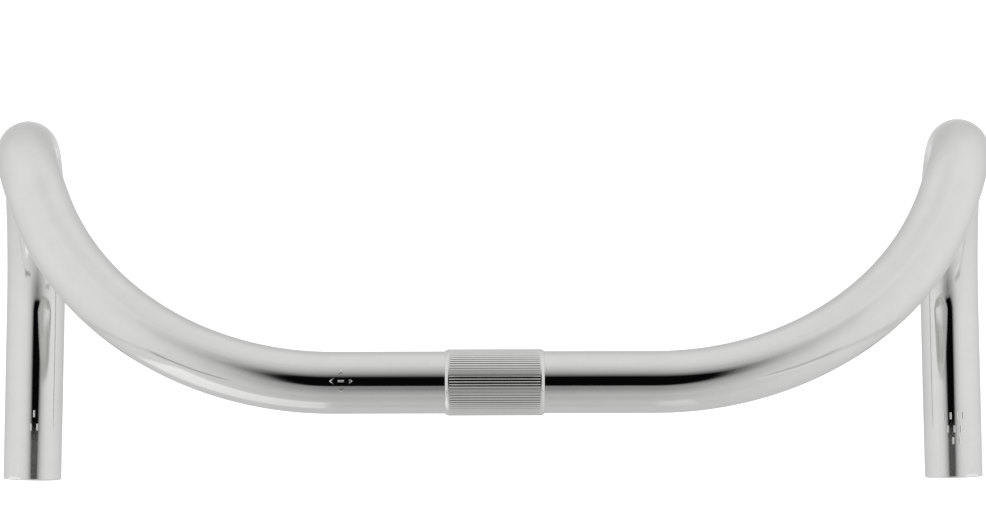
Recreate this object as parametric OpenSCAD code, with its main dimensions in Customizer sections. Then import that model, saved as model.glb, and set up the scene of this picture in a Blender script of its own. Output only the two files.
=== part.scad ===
// Drop handlebar: one bent steel tube with a fluted clamp sleeve around its middle.
// X runs to the rider's right, Y forward and Z up.
// The origin is the middle of the clamp sleeve, on the tube's centreline.

/* [Output] */
// Piece to draw on its own, or the whole bar

/* [Tube] */
// Outside diameter of the tube
tube_od = 23.8; // [23.4:0.1:24.2]
// Wall thickness of the tube
tube_wall = 1.2; // [1.1:0.1:1.6]
// How far in the rounded rims of the two open ends curve
rim_depth = 0.6; // [0.3:0.05:1]
// How far along the tube the rounded rims reach
rim_length = 0.7; // [0.4:0.1:4]

/* [Bends] */
// Straight run from the middle of the bar to the first bend
centre_run = 61.6; // [50:0.1:75]
// Centreline radius of the wide forward bend
reach_radius = 121.9; // [115:0.1:130]
// Angle turned by the wide forward bend
reach_angle = 70.9; // [69:0.1:73]
// Slope of the wide forward bend below level
reach_slope = 32.8; // [28:0.1:37]
// Short straight between the forward bend and the shoulder
shoulder_gap = 1.6; // [1:0.1:6]
// Centreline radius of the shoulder bend that turns the tube down
shoulder_radius = 44.2; // [40:0.1:50]
// Angle turned by the shoulder bend
shoulder_angle = 52.7; // [50:0.1:55]
// Roll of the shoulder bend about the tube
shoulder_roll = 76.5; // [72:0.1:80]
// Short straight between the shoulder and the hook
hook_gap = 1.6; // [1:0.1:6]
// Centreline radius of the hook that turns the tube back
hook_radius = 64.7; // [60:0.1:70]
// Angle turned by the hook
hook_angle = 96.2; // [94:0.1:98]
// Roll of the hook about the tube
hook_roll = 24.7; // [22:0.1:27]
// Straight run of each drop
drop_run = 69.5; // [60:0.1:100]

/* [Clamp sleeve] */
// Outside diameter of the sleeve, held by the stem
sleeve_od = 25.4; // [25.4:0.1:26]
// Length of the sleeve
sleeve_length = 37.8; // [34:0.1:42]
// Length of the bevel at each end of the sleeve
sleeve_bevel = 1.4; // [0.8:0.1:2]
// Number of flutes around the sleeve
flute_count = 76; // [60:2:80]
// Depth of each V-shaped flute
flute_depth = 0.16; // [0.1:0.02:0.2]
// Share of each pitch taken by the flute
flute_share = 0.36; // [0.3:0.02:0.5]

/* [Hidden] */
tube_r = tube_od / 2;
bore_r = tube_r - tube_wall;
sleeve_r = sleeve_od / 2;
// Straights run this far into the bends, which are thinner in radius by the relief.
lap = 0.3;
relief = 0.004;
// Segments round the tube and round the sleeve, and degrees between points on a rim.
tube_facets = 90;
sleeve_facets = 120;
rim_step = 15;
// Sleeve bevel from its outer end inwards: [share of its length, share of its rise].
bevel_curve = [[0, 0.15], [0.45, 0.7], [0.75, 0.93], [1, 1]];
// Share of each bevel's length that a flute leaves uncut.
flute_runout = 0.85;
// Height of a flute cutter's flanks and of its top, above the sleeve.
flank_lift = 0.02;
cutter_lift = 0.5;
steel = [0.80, 0.81, 0.83];
sleeve_steel = [0.72, 0.73, 0.76];

// Straight length of rod, with the rest of the walk at its far end.
module straight(run, r) {
    translate([0, 0, -lap])
        cylinder(h = run + 2 * lap, r = r, $fn = tube_facets);
    translate([0, 0, run]) children();
}

// Bend towards local X, with the rest of the walk at its far end.
module bend(radius, angle, r) {
    translate([radius, 0, 0])
        rotate([90, 0, 180])
            rotate_extrude(angle = angle, $fn = tube_facets)
                translate([radius, 0]) circle(r = r - relief, $fn = tube_facets);
    translate([radius, 0, 0])
        rotate([0, angle, 0])
            translate([-radius, 0, 0]) children();
}

// Rod of radius r from the middle of the bar round to the last straight.
module walk(r) {
    rotate([0, 90, 0])
        rotate([0, 0, 90 - reach_slope])
            translate([0, 0, centre_run])
                bend(reach_radius, reach_angle, r)
                    straight(shoulder_gap, r)
                        rotate([0, 0, -shoulder_roll])
                            bend(shoulder_radius, shoulder_angle, r)
                                straight(hook_gap, r)
                                    rotate([0, 0, -hook_roll])
                                        bend(hook_radius, hook_angle, r)
                                            children();
}

// Outside of a drop's last straight, with a rounded rim at the mouth.
module drop_outside() {
    rim = [
        for (a = [0 : rim_step : 90])
            [tube_r - rim_depth * (1 - cos(a)), drop_run - rim_length * (1 - sin(a))]
    ];
    rotate_extrude($fn = tube_facets)
        polygon(concat([[0, -lap], [tube_r, -lap]], rim, [[0, drop_run]]));
}

// Bore of a drop's last straight, open at the mouth.
module drop_inside() {
    translate([0, 0, -lap])
        cylinder(h = drop_run + 2 * lap, r = bore_r, $fn = tube_facets);
}

// Straight rod through the middle of the bar, under the sleeve.
module middle(r) {
    rotate([0, 90, 0])
        cylinder(h = 2 * (centre_run + lap), r = r, center = true, $fn = tube_facets);
}

module outside() {
    middle(tube_r);
    walk(tube_r) drop_outside();
    mirror([1, 0, 0]) walk(tube_r) drop_outside();
}

module inside() {
    middle(bore_r);
    walk(bore_r) drop_inside();
    mirror([1, 0, 0]) walk(bore_r) drop_inside();
}

module bar_tube() {
    color(steel)
        difference() {
            outside();
            inside();
        }
}

// Round blank of the sleeve, with a softened bevel down to the tube at both ends.
module sleeve_blank() {
    half = sleeve_length / 2;
    step = sleeve_r - tube_r;
    upper = [for (p = bevel_curve) [tube_r + step * p[1], half - sleeve_bevel * p[0]]];
    lower = [for (i = [len(upper) - 1 : -1 : 0]) [upper[i][0], -upper[i][1]]];
    rotate_extrude($fn = sleeve_facets)
        polygon(concat([[tube_r, half]], upper, lower, [[tube_r, -half]]));
}

// Cutter for one V-shaped flute along the sleeve, running out in its bevels.
module flute() {
    run = sleeve_length - 2 * flute_runout * sleeve_bevel;
    half_width = flute_share * PI * sleeve_r / flute_count;
    half_top = half_width * (flute_depth + flank_lift) / flute_depth;
    linear_extrude(height = run, center = true)
        polygon([
            [sleeve_r - flute_depth, 0],
            [sleeve_r + flank_lift, half_top],
            [sleeve_r + cutter_lift, half_top],
            [sleeve_r + cutter_lift, -half_top],
            [sleeve_r + flank_lift, -half_top]
        ]);
}

module clamp_sleeve() {
    color(sleeve_steel)
        rotate([0, 90, 0])
            difference() {
                sleeve_blank();
                for (i = [0 : flute_count - 1])
                    rotate([0, 0, (i + 0.5) * 360 / flute_count]) flute();
            }
}

bar_tube();
clamp_sleeve();
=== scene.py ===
"""Looks of the drop handlebar: a chrome plated bent tube with a fluted clamp sleeve around its middle.

Lengths in the dimension blocks are millimetres. Blender works in metres, so they pass through MM.
X runs to the rider's right, Y forward and Z up, and the origin is the middle of the clamp sleeve.
"""

import math

import bmesh
import bpy
import numpy as np
from mathutils import Matrix, Vector


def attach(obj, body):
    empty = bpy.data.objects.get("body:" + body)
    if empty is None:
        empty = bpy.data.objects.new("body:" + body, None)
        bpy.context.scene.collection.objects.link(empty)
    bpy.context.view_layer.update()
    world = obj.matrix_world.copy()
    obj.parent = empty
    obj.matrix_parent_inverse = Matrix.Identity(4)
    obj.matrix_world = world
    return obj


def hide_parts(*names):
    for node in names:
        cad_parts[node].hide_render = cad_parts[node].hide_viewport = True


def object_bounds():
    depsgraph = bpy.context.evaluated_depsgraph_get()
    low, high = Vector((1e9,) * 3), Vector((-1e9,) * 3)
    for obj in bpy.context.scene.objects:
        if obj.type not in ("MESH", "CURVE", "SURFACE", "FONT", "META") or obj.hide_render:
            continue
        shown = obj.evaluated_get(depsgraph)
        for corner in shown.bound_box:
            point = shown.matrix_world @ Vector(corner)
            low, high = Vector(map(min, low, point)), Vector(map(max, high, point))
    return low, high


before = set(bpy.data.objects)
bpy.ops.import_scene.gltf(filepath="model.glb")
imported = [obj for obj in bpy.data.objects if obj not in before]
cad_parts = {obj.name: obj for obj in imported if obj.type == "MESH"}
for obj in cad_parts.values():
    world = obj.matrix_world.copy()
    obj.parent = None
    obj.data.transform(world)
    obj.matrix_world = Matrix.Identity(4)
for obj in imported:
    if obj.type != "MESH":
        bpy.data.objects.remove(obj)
CAD_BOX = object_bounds()

MM = 0.001

# Tube, as in the part's own dimensions.
TUBE_R = 11.9
WALL = 1.2
RIM_DEPTH = 0.6
RIM_LENGTH = 0.7
MOUTH_ROUND = 0.15
CENTRE_RUN = 61.6
REACH = dict(radius=121.9, angle=70.9)
REACH_SLOPE = 32.8
SHOULDER_GAP = 1.6
SHOULDER = dict(radius=44.2, angle=52.7)
SHOULDER_ROLL = 76.5
HOOK_GAP = 1.6
HOOK = dict(radius=64.7, angle=96.2)
HOOK_ROLL = 24.7
DROP_RUN = 69.5

# Half the length of the tube's centreline.
TUBE_HALF = (CENTRE_RUN + SHOULDER_GAP + HOOK_GAP + DROP_RUN
             + sum(math.radians(bend["angle"]) * bend["radius"] for bend in (REACH, SHOULDER, HOOK)))

# Flat scuffed on the outer upper side of each mouth: its bearing from the top of the tube, its slope along
# the tube and its depth at the mouth.
SCUFF_BEARING = 36
SCUFF_SLOPE = 18
SCUFF_DEPTH = 0.85
SCUFF_RUN = SCUFF_DEPTH / math.tan(math.radians(SCUFF_SLOPE))

# Clamp sleeve.
SLEEVE_R = 12.7
SLEEVE_LENGTH = 37.8
SLEEVE_BEVEL = 1.4
FLUTES = 76
FLUTE_DEPTH = 0.16
FLUTE_SHARE = 0.36
# Half the length that the flutes reach.
FLUTE_HALF = SLEEVE_LENGTH / 2 - SLEEVE_BEVEL

# Half the width of each flute's softened lips and of its softened bottom, and how far from the flute's
# middle the land has its own points, in shares of the pitch.
FLUTE_LIP = 0.015
FLUTE_BOTTOM = 0.03
LAND_PLACE = 0.35
# Share of a flute's full depth that its softened bottom reaches, and the length that its ends fade out over.
FLUTE_REACH = 0.93
FLUTE_FADE = 0.5
# Shares of the step from tube to sleeve: the top of the flat end face, and the start of the bevel's curve.
END_RISE = 0.1
BEVEL_RISE = 0.15

# Raised strokes: (across, height) round the section of one, seen from its end, with its base in the tube.
MARK_SECTION = ((-0.4, -0.03), (-0.25, 0.08), (0, 0.14), (0.25, 0.08), (0.4, -0.03),
                (0.3, -0.3), (-0.3, -0.3))
# Edges of a stroke that turn by more than this stay sharp.
MARK_CREASE = 60
# Length of a tick, and the step across the tube from one to the next.
TICK_LENGTH = 2.8
TICK_GAP = 2.6
# Places of the generic marks along the tube from its middle, and their shapes as (along, across) corners
# or as (along, how many ticks, across of the first).
CENTRE_MARK_AT = -58.3
DIAMOND = [(3.9, -0.9), (0, 2.9), (-3.9, -0.9), (0, -4.7), (3.9, -0.9)]
DIAMOND_BAR = [(-1.2, -0.9), (1.2, -0.9)]
LEFT_MARK_AT = 22 - TUBE_HALF
LEFT_TICKS = ((0, 2, 0), (5.5, 1, 1.2))
RIGHT_MARK_AT = TUBE_HALF - 25.6
RIGHT_TICKS = ((0, 4, -3.4), (5.4, 3, -2.2), (10.2, 2, -1.6))

# Light tent, in metres: half width, half depth and height, and its sideways shift.
TENT_REACH = (0.6, 0.95, 0.95)
TENT_SHIFT = -0.02

# The dark opening overhead: how far down its edge lies, in degrees, for headings from the left round by
# the front (0) to the right.
OPENING_EDGE = (
    (-180, 11), (-160, 10.6), (-140, 13), (-120, 17), (-100, 20), (-80, 22), (-60, 26), (-40, 25.5),
    (-20, 21.5), (0, 19.5), (20, 22), (40, 26), (60, 32), (80, 29.5), (100, 24.5), (120, 18.5), (140, 14),
    (160, 11), (180, 11),
)
# No edge lies lower than this, so that it fits in a colour ramp.
EDGE_SCALE = 40
# Faint glow of the opening itself.
OPENING_GLOW = 0.003
# Brightness of the tent's wall by degrees down from that edge, at every WALL_SPACING degrees from the front.
WALL_SPACING = 45
TENT_WALLS = (
    (0, ((0, 0), (1.5, 0.04), (4.5, 0.14), (8.5, 0.26), (14.5, 0.43), (21.5, 0.57), (30, 0.7), (40, 0.83),
         (46, 0.92), (58, 0.97), (75, 1.0), (90, 1.0), (102, 0.94), (118, 0.86), (160, 0.84))),
    (45, ((0, 0), (5, 0.2), (9, 0.34), (13, 0.53), (17, 0.66), (22, 0.75), (27, 0.87), (32, 1.0), (40, 1.04),
          (60, 1.07), (80, 1.03), (95, 0.94), (160, 0.84))),
    (90, ((0, 0), (2, 0.04), (4.5, 0.22), (8.5, 0.4), (12.5, 0.55), (16.5, 0.68), (24.5, 0.82), (35.5, 0.96),
          (44.5, 1.02), (63, 1.06), (83, 1.0), (98, 0.94), (160, 0.8))),
    (135, ((0, 0), (2, 0.22), (5, 0.38), (11, 0.45), (19, 0.5), (27, 0.63), (37, 0.76), (50, 0.79),
           (65, 0.86), (115, 0.87), (160, 0.83))),
    (180, ((0, 0), (0.9, 0.3), (1.6, 0.3), (2.4, 0.24), (5, 0.32), (10, 0.28), (14, 0.31), (20, 0.44),
           (28, 0.54), (38, 0.65), (44, 0.61), (52, 0.63), (62, 0.69), (74, 0.74), (82, 0.69), (98, 0.78),
           (120, 0.81), (160, 0.85))),
)
# Panels on the wall: left and right heading, top and bottom, edge softness at top and bottom, gain, and
# how far the panel leans round for each degree above LEAN_FROM. Their sides are PANEL_SOFT soft.
LEAN_FROM = 73
PANEL_SOFT = 1.5
TENT_PANELS = (
    (-171, -116, 76, 108, 2.5, 6, 0.34, 0),
    (-109.5, -105.5, 57, 76, 2, 3, -0.45, 0.75),
    (-109, -106, 76, 125, 3, 6, -0.1, 0),
    (103.5, 107.5, 57, 76, 2, 3, -0.3, -0.4),
    (108.5, 111.5, 57, 76, 2, 3, 0.12, -0.4),
    (104, 107, 76, 112, 3, 6, -0.14, 0),
    (154, 168, 74, 100, 3, 5, 0.15, 0),
)

# Chrome of each piece: its colour, the roughness that haze adds and the strength of its fine lines.
TUBE_CHROME = dict(colour=(0.655, 0.655, 0.642), haze=0.03, lines=0.25)
SLEEVE_CHROME = dict(colour=(0.64, 0.64, 0.625), haze=0.05, lines=0.3)
MARK_CHROME = dict(colour=(0.7, 0.7, 0.7), haze=0.05, lines=0.2)
# Chrome's reflectance near the silhouette, against its own colour face on.
EDGE_TINT = 0.8
# Chrome's roughness where it is clean, and what each speck adds.
CLEAN_ROUGHNESS = 0.02
SPECK_ROUGHNESS = 0.03
# Brightness of the plate where it is hazy, against where it is clean.
HAZE_SHADE = 0.97
# How far in from each mouth the plate starts to be pitted, where it is so fully, and the least and most that
# the pits veil it.
PITTED_FROM = 25
PITTED_FULLY = 15
PITS = (0.08, 0.19)

# Material slots of the tube's skin, after its chrome.
BORE_SLOT = 1
SCUFF_SLOT = 2

# Camera: its place, its sensor's width, its lens, and how many degrees it is turned and leans sideways.
CAMERA_AT = (-0.64, 44.9, 1849.3)
SENSOR = 36.0
LENS = 177.21996
CAMERA_TURN = 0.15
CAMERA_LEAN = 0.24

# Mesh fineness.
AROUND = 128
STRAIGHT_STEP = 2.0
BEND_STEP = 1.0
SCUFF_STEP = 0.35


# ---------------------------------------------------------------- centreline

class Walk:
    """Walks along the tube's centreline, keeping a cross-section frame that never twists."""

    def __init__(self, bend_plane):
        self.point = Vector((0, 0, 0))
        self.tangent = Vector((1, 0, 0))
        self.inward = bend_plane
        self.side = Vector((0, 0, 1))
        self.length = 0.0
        self.stations = []

    def mark(self):
        self.stations.append((self.point.copy(), self.tangent.copy(), self.side.copy(), self.length))

    def straight(self, run):
        steps = max(1, math.ceil(run / STRAIGHT_STEP))
        for _ in range(steps):
            self.mark()
            self.point += self.tangent * (run / steps)
            self.length += run / steps

    def bend(self, radius, angle):
        """Turns towards the inward side."""
        steps = math.ceil(angle / BEND_STEP)
        step = math.radians(angle) / steps
        axis = self.tangent.cross(self.inward)
        centre = self.point + self.inward * radius
        turn = Matrix.Rotation(step, 3, axis)
        for _ in range(steps):
            self.mark()
            self.point = centre + turn @ (self.point - centre)
            self.tangent = (turn @ self.tangent).normalized()
            self.inward = (turn @ self.inward).normalized()
            self.side = (turn @ self.side).normalized()
            self.length += radius * step

    def roll(self, angle):
        self.inward = Matrix.Rotation(math.radians(angle), 3, self.tangent) @ self.inward


def right_half():
    """Stations from the middle of the bar to the mouth of the right drop."""
    slope = math.radians(REACH_SLOPE)
    walk = Walk(Vector((0, math.cos(slope), -math.sin(slope))))
    walk.straight(CENTRE_RUN)
    walk.bend(**REACH)
    walk.straight(SHOULDER_GAP)
    walk.roll(-SHOULDER_ROLL)
    walk.bend(**SHOULDER)
    walk.straight(HOOK_GAP)
    walk.roll(-HOOK_ROLL)
    walk.bend(**HOOK)
    walk.straight(DROP_RUN)
    walk.mark()
    return walk.stations


def whole_bar():
    """Stations from the left mouth to the right mouth."""
    right = right_half()
    flip = Matrix.Diagonal((-1, 1, 1))
    left = [(flip @ p, -(flip @ t), flip @ s, -length) for p, t, s, length in reversed(right[1:])]
    return left + right


# ---------------------------------------------------------------- meshes

def mesh_object(name, points, faces, unbent):
    """A smooth mesh in metres that keeps each point's place on the straight, unbent tube."""
    mesh = bpy.data.meshes.new(name)
    mesh.from_pydata((np.asarray(points) * MM).tolist(), [], faces)
    attribute = mesh.attributes.new("unbent", "FLOAT_VECTOR", "POINT")
    attribute.data.foreach_set("vector", np.asarray(unbent, np.float32).ravel())
    mesh.polygons.foreach_set("use_smooth", [True] * len(mesh.polygons))
    mesh.update()
    obj = bpy.data.objects.new(name, mesh)
    bpy.context.scene.collection.objects.link(obj)
    return obj


def ring_faces(rows, around, closed):
    """Quads between consecutive rings of points, and from the last ring to the first if closed."""
    faces = []
    last = rows if closed else rows - 1
    for i in range(last):
        a, b = i * around, (i + 1) % rows * around
        for j in range(around):
            k = (j + 1) % around
            faces.append((a + j, a + k, b + k, b + j))
    return faces


def arc(start, stop, steps):
    """Points (x, y) on a circle of radius 1, from start to stop degrees."""
    angles = [math.radians(start + (stop - start) * i / steps) for i in range(steps + 1)]
    return [(math.cos(a), math.sin(a)) for a in angles]


def rim_profile():
    """(radius, distance back from the mouth) from the outer wall round the rim into the bore."""
    bore = TUBE_R - WALL
    outer = [(TUBE_R - RIM_DEPTH * (1 - x), RIM_LENGTH * (1 - y)) for x, y in arc(0, 90, 10)]
    inner = [(bore + MOUTH_ROUND * (1 + x), MOUTH_ROUND * (1 - y)) for x, y in arc(90, 180, 4)]
    return outer + inner


def scuff_plane(mouth):
    """A point on the flat scuffed on the outer upper side of a mouth, and the flat's direction."""
    place, tangent, _, length = mouth
    sign = 1 if length > 0 else -1
    outward = tangent * sign
    upward = (Vector((0, 0, 1)) - outward * outward.z).normalized()
    aside = upward.cross(outward) * sign
    bearing, slope = math.radians(SCUFF_BEARING), math.radians(SCUFF_SLOPE)
    radial = upward * math.cos(bearing) + aside * math.sin(bearing)
    return place + radial * (TUBE_R - SCUFF_DEPTH), radial * math.cos(slope) + outward * math.sin(slope)


def make_tube():
    """The bent tube as one closed skin: outside, right rim, bore and left rim, with both rims scuffed."""
    stations = whole_bar()
    left_mouth, right_mouth = stations[0], stations[-1]
    flats = {mouth[-1]: scuff_plane(mouth) for mouth in (left_mouth, right_mouth)}
    angles = np.linspace(0, 2 * math.pi, AROUND, endpoint=False)
    points, unbent = [], []
    scuffed = set()

    def ring(station, radius, back=0.0):
        place, tangent, side, length = station
        other = tangent.cross(side)
        sign = 1 if length > 0 else -1
        centre = place - tangent * back * sign
        for a in angles:
            c, s = math.cos(a), math.sin(a)
            point = centre + (side * c + other * s) * radius
            if length in flats:
                foot, facing = flats[length]
                proud = (point - foot).dot(facing)
                if proud > 0:
                    point -= facing * proud
                    if back > RIM_LENGTH / 3:
                        scuffed.add(len(points))
            points.append(point)
            unbent.append((radius * c, radius * s, length - back * sign))

    bore = TUBE_R - WALL
    # The bore's own rings start this far back from the mouths.
    bore_back = MOUTH_ROUND * 4
    body = [station for station in stations if abs(station[3]) < TUBE_HALF - SCUFF_RUN - SCUFF_STEP]
    steps = math.ceil((SCUFF_RUN - RIM_LENGTH) / SCUFF_STEP)
    rim = [(TUBE_R, SCUFF_RUN - SCUFF_STEP * i) for i in range(steps)] + rim_profile()
    for station in body:
        ring(station, TUBE_R)
    for radius, back in rim:
        ring(right_mouth, radius, back)
    bore_start = len(points)
    ring(right_mouth, bore, bore_back)
    for station in reversed(body[::2]):
        ring(station, bore)
    ring(left_mouth, bore, bore_back)
    bore_end = len(points) - AROUND
    for radius, back in reversed(rim):
        ring(left_mouth, radius, back)
    rows = len(points) // AROUND
    obj = mesh_object("bar_tube_skin", points, ring_faces(rows, AROUND, True), unbent)
    for polygon in obj.data.polygons[bore_start:bore_end]:
        polygon.material_index = BORE_SLOT
    for polygon in obj.data.polygons:
        if scuffed.issuperset(polygon.vertices):
            polygon.material_index = SCUFF_SLOT
    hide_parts("bar_tube")
    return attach(obj, "root")


def smooth_step(x):
    x = min(1.0, max(0.0, x))
    return x * x * (3 - 2 * x)


def sleeve_outline():
    """(radius, place along) of the sleeve's outside from end to end, with rounded bevels."""
    half = SLEEVE_LENGTH / 2
    step = SLEEVE_R - TUBE_R
    left = [(TUBE_R, -half), (TUBE_R + step * END_RISE, -half)]
    for share in (0.05, 0.15, 0.3, 0.5, 0.7, 0.85, 1.0):
        rise = BEVEL_RISE + (1 - BEVEL_RISE) * math.sin(share * math.pi / 2)
        left.append((TUBE_R + step * rise, -half + SLEEVE_BEVEL * share))
    left += [(SLEEVE_R, FLUTE_FADE * share - FLUTE_HALF) for share in (0.3, 0.6, 1)]
    inner_steps = 8
    inner_half = FLUTE_HALF - FLUTE_FADE
    inner = [(SLEEVE_R, inner_half * (2 * i / inner_steps - 1)) for i in range(1, inner_steps)]
    return left + inner + [(radius, -x) for radius, x in reversed(left)]


def make_sleeve():
    """The fluted sleeve: round lands at full radius, V-shaped flutes with softened lips, rounded ends."""
    # Places across one pitch, in shares of it, from a land's middle over the flute to the next.
    lip = FLUTE_SHARE / 2
    beside = (FLUTE_BOTTOM, lip - FLUTE_LIP, lip, lip + FLUTE_LIP, LAND_PLACE)
    places = [0.5 - x for x in reversed(beside)] + [0.5] + [0.5 + x for x in beside] + [1.0]
    phase = np.tile(places, FLUTES)
    scoop = np.clip(1 - np.abs(phase - 0.5) / lip, 0.0, FLUTE_REACH)
    angles = (np.repeat(np.arange(FLUTES), len(places)) + phase) * 2 * math.pi / FLUTES
    outline = sleeve_outline()

    points, unbent = [], []
    for radius, x in outline:
        depth = FLUTE_DEPTH * smooth_step((FLUTE_HALF - abs(x)) / FLUTE_FADE)
        for a, cut in zip(angles, scoop):
            r = radius - depth * cut
            points.append((x, r * math.sin(a), r * math.cos(a)))
            unbent.append((r * math.cos(a), r * math.sin(a), x))
    faces = [tuple(reversed(face)) for face in ring_faces(len(outline), len(angles), True)]
    obj = mesh_object("clamp_sleeve_skin", points, faces, unbent)
    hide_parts("clamp_sleeve")
    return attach(obj, "root")


def station_at(length):
    """Point, tangent and outward-up direction on the centreline at a signed length from the middle."""
    stations = whole_bar()
    for before, after in zip(stations, stations[1:]):
        if after[3] >= length:
            break
    share = (length - before[3]) / (after[3] - before[3])
    point = before[0].lerp(after[0], share)
    tangent = before[1].lerp(after[1], share).normalized()
    upward = (Vector((0, 0, 1)) - tangent * tangent.z).normalized()
    return point, tangent, upward


def corners_of(stroke):
    """Corners of a polyline, each with the mitred direction across it, and whether it closes on itself."""
    closed = stroke[0] == stroke[-1]
    corners = [Vector(corner) for corner in stroke]
    across = []
    for start, stop in zip(corners, corners[1:]):
        run = stop - start
        across.append(Vector((-run.y, run.x)).normalized())
    if closed:
        corners.pop()
    mitred = []
    for i, corner in enumerate(corners):
        arriving = across[i - 1] if closed or i > 0 else across[0]
        leaving = across[i] if i < len(across) else across[-1]
        mitred.append((corner, (arriving + leaving) / (1 + arriving.dot(leaving))))
    return mitred, closed


def make_mark(name, length, strokes):
    """Solid strokes standing a hair proud of the tube: polylines of (along, across) millimetres."""
    point, tangent, upward = station_at(length)
    sideways = tangent.cross(upward)
    width = len(MARK_SECTION)
    points, faces, unbent = [], [], []
    for stroke in strokes:
        start = len(points)
        corners, closed = corners_of(stroke)
        for corner, across in corners:
            for offset, rise in MARK_SECTION:
                place = corner + across * offset
                turn = place.y / TUBE_R
                outward = upward * math.cos(turn) + sideways * math.sin(turn)
                points.append(point + tangent * place.x + outward * (TUBE_R + rise))
                unbent.append((TUBE_R * math.cos(turn), TUBE_R * math.sin(turn), length + place.x))
        strip = ring_faces(len(corners), width, closed)
        if not closed:
            last = (len(corners) - 1) * width
            strip += [tuple(reversed(range(width))), tuple(range(last, last + width))]
        faces += [tuple(start + corner for corner in face) for face in strip]
    obj = mesh_object(name, points, faces, unbent)
    obj.data.set_sharp_from_angle(angle=math.radians(MARK_CREASE))
    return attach(obj, "root")


def ticks(rows):
    """Rows of short upright strokes, as (place along, how many, place across of the first)."""
    half = TICK_LENGTH / 2
    return [[(place - half, first + TICK_GAP * i), (place + half, first + TICK_GAP * i)]
            for place, count, first in rows for i in range(count)]


# ---------------------------------------------------------------- materials

class Nodes:
    """Short calls for building a node tree. An input is given by its name, or by its number as in i0."""

    def __init__(self, tree):
        self.tree = tree
        tree.nodes.clear()

    def add(self, kind, settings=None, **inputs):
        node = self.tree.nodes.new(kind)
        for key, value in (settings or {}).items():
            setattr(node, key, value)
        for key, value in inputs.items():
            self.feed(node, key.replace("_", " "), value)
        return node

    def feed(self, node, key, value):
        socket = node.inputs[int(key[1:])] if key[0] == "i" and key[1:].isdigit() else node.inputs[key]
        if isinstance(value, bpy.types.NodeSocket):
            self.tree.links.new(value, socket)
        else:
            socket.default_value = value

    def math(self, operation, a, b=0.0, clamp=False):
        settings = dict(operation=operation, use_clamp=clamp)
        return self.add("ShaderNodeMath", settings, i0=a, i1=b).outputs[0]

    def mapped(self, value, low, high, to_low, to_high):
        """Value eased from between low and high to between to_low and to_high."""
        settings = dict(interpolation_type="SMOOTHSTEP")
        node = self.add("ShaderNodeMapRange", settings, i0=value, i1=low, i2=high, i3=to_low, i4=to_high)
        return node.outputs[0]

    def noise(self, vector, scale, detail=2.0, roughness=0.5):
        node = self.add("ShaderNodeTexNoise", Vector=vector, Scale=scale, Detail=detail, Roughness=roughness)
        return node.outputs[0]

    def stretched(self, vector, x, y, z):
        node = self.add("ShaderNodeVectorMath", dict(operation="MULTIPLY"), i0=vector, i1=(x, y, z))
        return node.outputs[0]

    def blend(self, share, colour, other):
        node = self.add("ShaderNodeMix", dict(data_type="RGBA"), i0=share, i6=(*colour, 1), i7=(*other, 1))
        return node.outputs[2]

    def unbent(self):
        """Place on the straight, unbent tube in millimetres, and the distance along it from the middle."""
        place = self.add("ShaderNodeAttribute", dict(attribute_name="unbent")).outputs["Vector"]
        along = self.add("ShaderNodeSeparateXYZ", i0=place).outputs[2]
        return place, self.math("ABSOLUTE", along)


def new_material(name):
    material = bpy.data.materials.new(name)
    material.use_nodes = True
    return material, Nodes(material.node_tree)


def chrome(name, colour, haze, lines):
    """Chrome plate: a clear mirror with fine polishing lines, faint haze and slight thickness waves."""
    material, n = new_material(name)
    place, along = n.unbent()
    scratch = n.noise(n.stretched(place, 6.0, 6.0, 0.25), 3.0, 6.0, 0.7)
    polish = n.noise(n.stretched(place, 0.4, 0.4, 9.0), 2.0, 4.0, 0.6)
    height = n.math("ADD", n.math("MULTIPLY", scratch, 0.6), n.math("MULTIPLY", polish, 0.4))
    bump = n.add("ShaderNodeBump", Strength=lines, Distance=0.00002, Height=height).outputs[0]
    hazy = n.mapped(n.noise(place, 0.09, 3.0, 0.6), 0.35, 0.75, 0.0, 1.0)
    tint = n.blend(hazy, colour, [level * HAZE_SHADE for level in colour])
    specks = n.mapped(n.noise(place, 2.5, 2.0, 0.5), 0.6, 0.8, 0.0, SPECK_ROUGHNESS)
    roughness = n.math("ADD", n.math("MULTIPLY", hazy, haze), n.math("ADD", specks, CLEAN_ROUGHNESS))
    mirror = n.add("ShaderNodeBsdfPrincipled", Base_Color=tint, Metallic=1.0, Roughness=roughness,
                   Normal=bump, Specular_Tint=(EDGE_TINT, EDGE_TINT, EDGE_TINT, 1))
    # The plate near the two mouths is finely pitted, which veils its darkest reflections.
    near_mouth = n.mapped(along, TUBE_HALF - PITTED_FROM, TUBE_HALF - PITTED_FULLY, 0.0, 1.0)
    pits = n.mapped(n.noise(place, 3.0, 3.0, 0.6), 0.4, 0.65, *PITS)
    veil = n.add("ShaderNodeBsdfDiffuse", Color=(*colour, 1))
    plate = n.add("ShaderNodeMixShader", i0=n.math("MULTIPLY", near_mouth, pits), i1=mirror.outputs[0],
                  i2=veil.outputs[0])
    n.add("ShaderNodeOutputMaterial", Surface=plate.outputs[0])
    return material


def bare_steel():
    """Dull unplated steel inside the tube, blotched with a thin brown film."""
    material, n = new_material("bore_steel")
    place, _ = n.unbent()
    film = n.mapped(n.noise(place, 0.35, 5.0, 0.65), 0.4, 0.62, 0.0, 1.0)
    drawn = n.noise(n.stretched(place, 5.0, 5.0, 0.2), 2.0, 4.0, 0.6)
    colour = n.blend(film, (0.36, 0.35, 0.34), (0.2, 0.17, 0.145))
    roughness = n.mapped(film, 0.0, 1.0, 0.42, 0.68)
    height = n.math("ADD", drawn, film)
    bump = n.add("ShaderNodeBump", Strength=0.5, Distance=0.00006, Height=height).outputs[0]
    bsdf = n.add("ShaderNodeBsdfPrincipled", Base_Color=colour, Metallic=0.75, Roughness=roughness,
                 Normal=bump)
    n.add("ShaderNodeOutputMaterial", Surface=bsdf.outputs[0])
    return material


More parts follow.
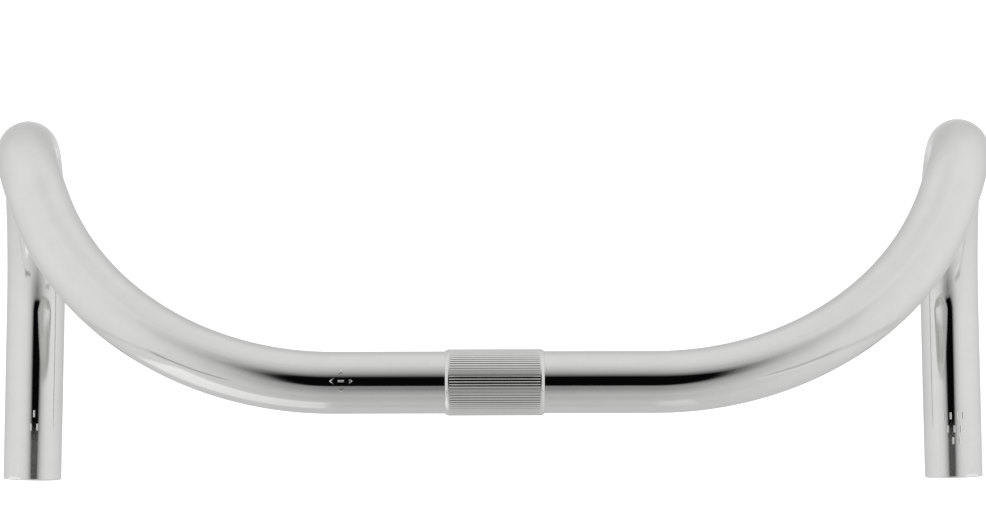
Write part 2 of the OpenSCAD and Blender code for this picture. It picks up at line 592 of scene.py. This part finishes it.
def scuff_and_painted_highlight():
    """Rough worn metal on the flats scuffed on the two mouths, with a painted highlight: the colour
    brightens towards the mouth itself.
    """
    material, n = new_material("scuff_and_painted_highlight")
    _, along = n.unbent()
    # Painted highlight: the flat's colour brightens from plate grey to near white towards the mouth,
    # standing in for a reflection.
    painted_highlight = n.mapped(along, TUBE_HALF - SCUFF_RUN, TUBE_HALF, 0.0, 1.0)
    colour = n.blend(painted_highlight, (0.67, 0.67, 0.66), (0.9, 0.9, 0.89))
    bsdf = n.add("ShaderNodeBsdfPrincipled", Base_Color=colour, Metallic=1.0, Roughness=0.45)
    n.add("ShaderNodeOutputMaterial", Surface=bsdf.outputs[0])
    return material


def floor_material():
    """Pale matte paper, bright enough to read as a clean sweep."""
    material, n = new_material("studio_paper")
    place = n.add("ShaderNodeTexCoord").outputs["Object"]
    shade = n.mapped(n.noise(place, 60.0, 4.0, 0.6), 0.3, 0.7, 0.985, 1.0)
    colour = n.add("ShaderNodeCombineColor", i0=shade, i1=shade, i2=shade).outputs[0]
    bsdf = n.add("ShaderNodeBsdfPrincipled", Base_Color=colour, Roughness=0.9, Specular_IOR_Level=0.0,
                 Emission_Color=(1, 1, 1, 1), Emission_Strength=0.55)
    n.add("ShaderNodeOutputMaterial", Surface=bsdf.outputs[0])
    return material


# ---------------------------------------------------------------- studio

def ramp(n, value, stops):
    """Grey by value, up to 180 degrees, in straight runs between (angle, brightness) stops."""
    node = n.add("ShaderNodeValToRGB", Fac=n.math("DIVIDE", value, 180.0))
    elements = node.color_ramp.elements
    while len(elements) < len(stops):
        elements.new(0.5)
    for element, (angle, level) in zip(elements, stops):
        element.position = angle / 180
        element.color = (level, level, level, 1)
    return node.outputs[0]


def make_world():
    """Even pale light from all round."""
    world = bpy.data.worlds.new("studio")
    bpy.context.scene.world = world
    world.use_nodes = True
    n = Nodes(world.node_tree)
    background = n.add("ShaderNodeBackground", Color=(1, 1, 1, 1), Strength=1.0)
    n.add("ShaderNodeOutputWorld", Surface=background.outputs[0])


def tent_material():
    """Glow of the light tent: dark at the opening overhead, then brighter down its walls."""
    material, n = new_material("light_tent")
    place = n.add("ShaderNodeTexCoord").outputs["Object"]
    direction = n.add("ShaderNodeVectorMath", dict(operation="NORMALIZE"), i0=place).outputs[0]
    x, y, z = n.add("ShaderNodeSeparateXYZ", i0=direction).outputs
    polar = n.math("DEGREES", n.math("ARCCOSINE", z))
    azimuth = n.math("DEGREES", n.math("ARCTAN2", x, y))
    turned = n.math("ABSOLUTE", azimuth)
    edge = ramp(n, n.math("MULTIPLY", n.math("ADD", azimuth, 180.0), 0.5),
                [((heading + 180) / 2, depth / EDGE_SCALE) for heading, depth in OPENING_EDGE])
    below = n.math("MAXIMUM", n.math("SUBTRACT", polar, n.math("MULTIPLY", edge, EDGE_SCALE)), 0.0)
    total = None
    for heading, stops in TENT_WALLS:
        away = n.math("ABSOLUTE", n.math("SUBTRACT", turned, heading))
        share = n.math("SUBTRACT", 1.0, n.math("DIVIDE", away, WALL_SPACING), True)
        part = n.math("MULTIPLY", ramp(n, below, stops), share)
        total = part if total is None else n.math("ADD", total, part)
    above = n.math("MAXIMUM", n.math("SUBTRACT", LEAN_FROM, polar), 0.0)
    for left, right, top, bottom, soft_top, soft_bottom, gain, lean in TENT_PANELS:
        heading = n.math("ADD", azimuth, n.math("MULTIPLY", above, lean))
        wide = n.math("MULTIPLY", n.mapped(heading, left - PANEL_SOFT, left + PANEL_SOFT, 0.0, 1.0),
                      n.mapped(heading, right + PANEL_SOFT, right - PANEL_SOFT, 0.0, 1.0))
        tall = n.math("MULTIPLY", n.mapped(polar, top - soft_top, top + soft_top, 0.0, 1.0),
                      n.mapped(polar, bottom + soft_bottom, bottom - soft_bottom, 0.0, 1.0))
        panel = n.math("MULTIPLY", n.math("MULTIPLY", wide, tall), gain)
        total = n.math("MULTIPLY", total, n.math("ADD", 1.0, panel))
    total = n.math("ADD", total, OPENING_GLOW)
    glow = n.add("ShaderNodeEmission", Color=total, Strength=1.0)
    n.add("ShaderNodeOutputMaterial", Surface=glow.outputs[0])
    return material


def make_tent():
    """A light tent round the bar, seen only in its reflections."""
    mesh = bpy.data.meshes.new("light_tent")
    skin = bmesh.new()
    bmesh.ops.create_uvsphere(skin, u_segments=96, v_segments=48, radius=1.0)
    skin.to_mesh(mesh)
    skin.free()
    tent = bpy.data.objects.new("light_tent", mesh)
    tent.location = (TENT_SHIFT, 0, 0)
    tent.scale = TENT_REACH
    tent.visible_camera = False
    tent.visible_diffuse = False
    tent.visible_shadow = False
    mesh.materials.append(tent_material())
    bpy.context.scene.collection.objects.link(tent)


def make_floor():
    lowest = CAD_BOX[0].z
    reach = 6.0
    mesh = bpy.data.meshes.new("studio_floor")
    mesh.from_pydata([(-reach, -reach, lowest), (reach, -reach, lowest), (reach, reach, lowest),
                      (-reach, reach, lowest)], [], [(0, 1, 2, 3)])
    floor = bpy.data.objects.new("studio_floor", mesh)
    bpy.context.scene.collection.objects.link(floor)
    floor.data.materials.append(floor_material())
    floor.visible_glossy = False


def make_camera():
    """Nearly straight above the bar, as the photograph was taken."""
    data = bpy.data.cameras.new("camera")
    data.sensor_width = SENSOR
    data.lens = LENS
    data.clip_end = 100.0
    camera = bpy.data.objects.new("camera", data)
    turn = Matrix.Rotation(math.radians(CAMERA_TURN), 4, "Z")
    lean = Matrix.Rotation(math.radians(CAMERA_LEAN), 4, "Y")
    camera.matrix_world = (turn @ lean).inverted() @ Matrix.Translation(Vector(CAMERA_AT) * MM)
    bpy.context.scene.collection.objects.link(camera)
    bpy.context.scene.camera = camera


# ---------------------------------------------------------------- build

tube = make_tube()
tube.data.materials.append(chrome("tube_chrome", **TUBE_CHROME))
tube.data.materials.append(bare_steel())
tube.data.materials.append(scuff_and_painted_highlight())
sleeve = make_sleeve()
sleeve.data.materials.append(chrome("sleeve_chrome", **SLEEVE_CHROME))
marks = [make_mark("centre_mark", CENTRE_MARK_AT, [DIAMOND, DIAMOND_BAR]),
         make_mark("drop_mark_left", LEFT_MARK_AT, ticks(LEFT_TICKS)),
         make_mark("drop_mark_right", RIGHT_MARK_AT, ticks(RIGHT_TICKS))]
for mark in marks:
    mark.data.materials.append(chrome(mark.name + "_chrome", **MARK_CHROME))

make_world()
make_tent()
make_floor()
make_camera()
bpy.context.scene.view_settings.view_transform = "Standard"
bpy.context.scene.view_settings.look = "None"

bpy.context.view_layer.update()
